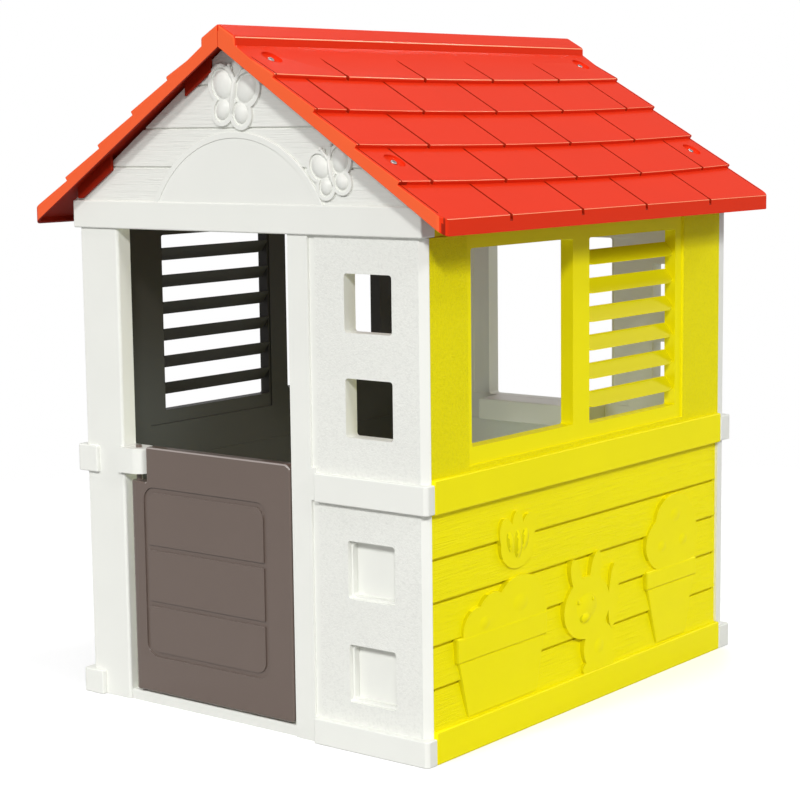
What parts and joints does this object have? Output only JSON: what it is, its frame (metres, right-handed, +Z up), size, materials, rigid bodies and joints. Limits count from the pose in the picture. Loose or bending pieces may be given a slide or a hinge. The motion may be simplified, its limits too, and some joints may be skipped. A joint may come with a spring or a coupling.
{
  "type": "plastic playhouse",
  "caption": "Walk-in toy house of moulded plastic panels with a gabled tile roof, open and louvred windows, and a hinged half door.",
  "frame": {"origin": "on the ground under the middle of the house", "axes": "+Z up, +Y from the door side to the back, +X to the right seen from the door side"},
  "size_m": [0.98, 1.1, 1.27],
  "materials": {
    "white_panels": "warm white moulded polypropylene, satin, stippled panels and wood-grain boards",
    "lime_panels": "yellow-lime moulded polypropylene, satin, stippled pilasters and wood-grain boards",
    "taupe_panels": "taupe moulded polypropylene, satin, smooth with a faint stipple",
    "slate_panels": "dark slate moulded polypropylene, satin, smooth with a faint stipple",
    "red_roof": "orange-red moulded polypropylene, semi-gloss, faint stipple",
    "screws": "zinc-plated steel"
  },
  "bodies": {
    "house": {"front_left_post": "white_panels", "front_right_panel": "white_panels", "door_sill": "white_panels", "back_wall_lower": "white_panels", "back_wall_upper": "white_panels", "front_gable": "white_panels", "back_gable": "white_panels", "right_wall_lower": "lime_panels", "right_wall_upper": "lime_panels", "left_wall_lower": "slate_panels", "left_wall_upper": "slate_panels", "roof_right": "red_roof", "roof_left": "red_roof", "roof_screw_1": "screws", "roof_screw_2": "screws", "roof_screw_3": "screws", "roof_screw_4": "screws", "roof_screw_5": "screws", "roof_screw_6": "screws", "roof_screw_7": "screws", "roof_screw_8": "screws", "corner_screw_1": "screws", "corner_screw_2": "screws", "corner_screw_3": "screws", "corner_screw_4": "screws", "corner_screw_5": "screws", "corner_screw_6": "screws", "corner_screw_7": "screws", "corner_screw_8": "screws", "gable_screw_1": "screws", "gable_screw_2": "screws", "gable_screw_3": "screws", "gable_screw_4": "screws"},
    "door": {"half_door": "taupe_panels"}
  },
  "joints": [
    {"name": "door_hinge", "type": "hinge", "parent": "house", "child": "door", "pos_m": [-0.277, -0.497, 0.26], "axis": [0, 0, 1], "range_deg": [-105, 0]}
  ]
}
